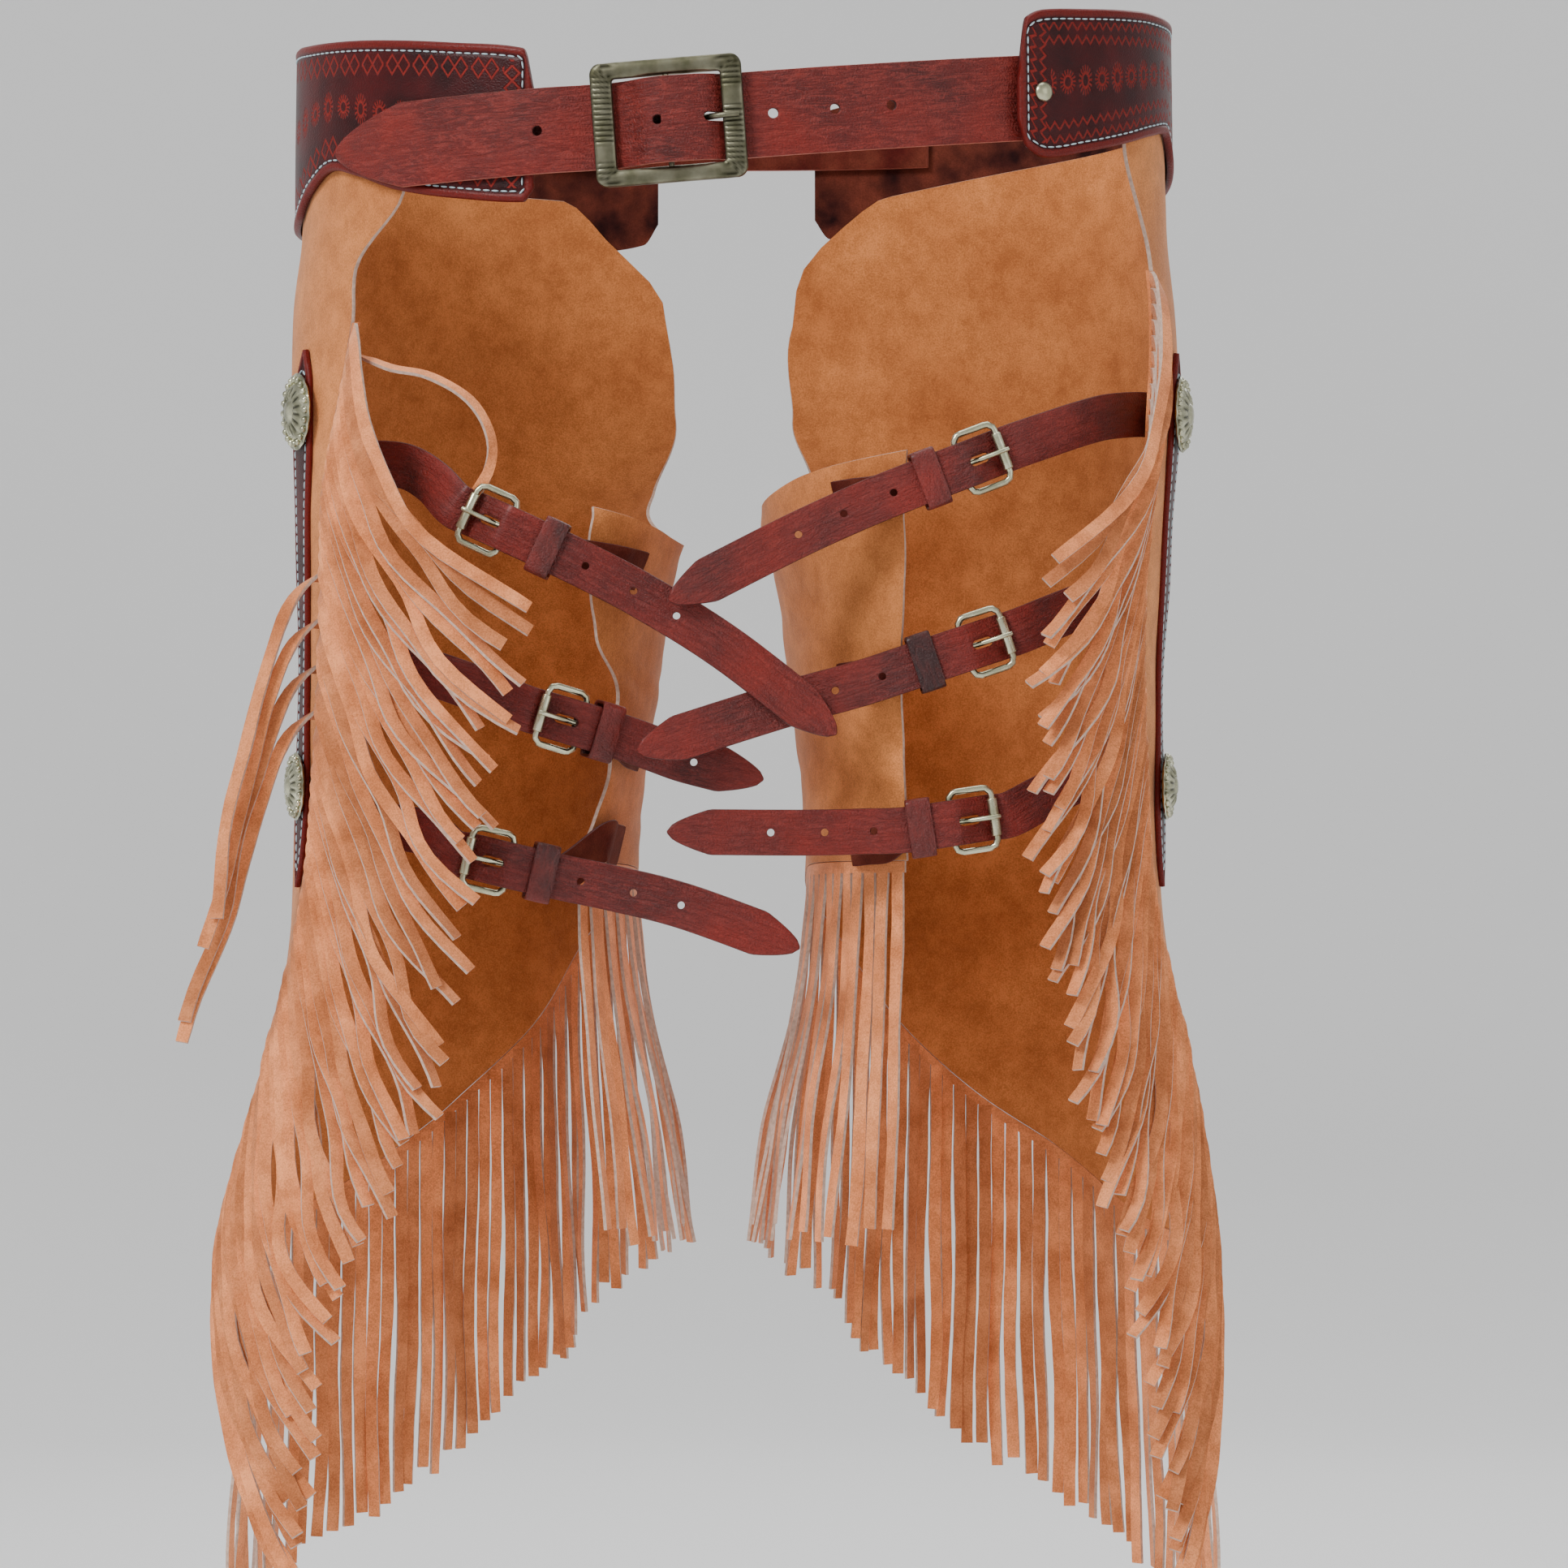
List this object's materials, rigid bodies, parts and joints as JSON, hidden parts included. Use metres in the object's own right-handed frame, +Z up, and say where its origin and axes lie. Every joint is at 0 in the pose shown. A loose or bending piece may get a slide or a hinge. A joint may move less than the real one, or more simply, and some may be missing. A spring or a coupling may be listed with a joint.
{
  "type": "leather chaps",
  "caption": "Fringed suede leg chaps as worn, with tooled hip yokes, a buckled belt and buckled straps across the backs of the thighs",
  "frame": {"origin": "centre of the waist loop, at the height of the belt's middle line at the centre back", "axes": "+Z up, -Y the wearer's back and the side the picture shows, +X to the wearer's right"},
  "size_m": [0.4708, 0.2787, 0.7412],
  "materials": {
    "suede": "napped tan suede",
    "fringe_suede": "napped suede with pale cut edges",
    "yoke_leather": "dark burgundy tooled leather, lightly polished",
    "belt_leather": "mottled red-brown leather, creased",
    "keeper_leather": "red-brown leather",
    "nickel": "plated wire and rivets, slightly dull",
    "pewter": "antique pewter with engraved lines",
    "concho_metal": "pressed metal, bright"
  },
  "bodies": {
    "root": {"leg_panel_left": "suede", "yoke_left": "yoke_leather", "side_strip_left": "yoke_leather", "concho_left_1": "concho_metal", "concho_left_2": "concho_metal", "outer_fringe_left": "fringe_suede", "hem_fringe_left": "fringe_suede", "front_rivet_left": "nickel", "leg_panel_right": "suede", "yoke_right": "yoke_leather", "side_strip_right": "yoke_leather", "concho_right_1": "concho_metal", "concho_right_2": "concho_metal", "outer_fringe_right": "fringe_suede", "hem_fringe_right": "fringe_suede", "front_rivet_right": "nickel", "thigh_strap_left_upper": "belt_leather", "short_strap_left_upper": "belt_leather", "keeper_left_upper": "keeper_leather", "strap_buckle_left_upper": "nickel", "thigh_strap_left_middle": "belt_leather", "short_strap_left_middle": "belt_leather", "keeper_left_middle": "keeper_leather", "strap_buckle_left_middle": "nickel", "thigh_strap_left_lower": "belt_leather", "short_strap_left_lower": "belt_leather", "keeper_left_lower": "keeper_leather", "strap_buckle_left_lower": "nickel", "thigh_strap_right_upper": "belt_leather", "short_strap_right_upper": "belt_leather", "keeper_right_upper": "keeper_leather", "strap_buckle_right_upper": "nickel", "thigh_strap_right_middle": "belt_leather", "short_strap_right_middle": "belt_leather", "keeper_right_middle": "keeper_leather", "strap_buckle_right_middle": "nickel", "thigh_strap_right_lower": "belt_leather", "short_strap_right_lower": "belt_leather", "keeper_right_lower": "keeper_leather", "strap_buckle_right_lower": "nickel", "belt_strap": "belt_leather", "buckle_strap": "belt_leather", "belt_buckle": "pewter", "front_strap": "belt_leather", "back_rivet_right": "nickel"}
  },
  "joints": []
}
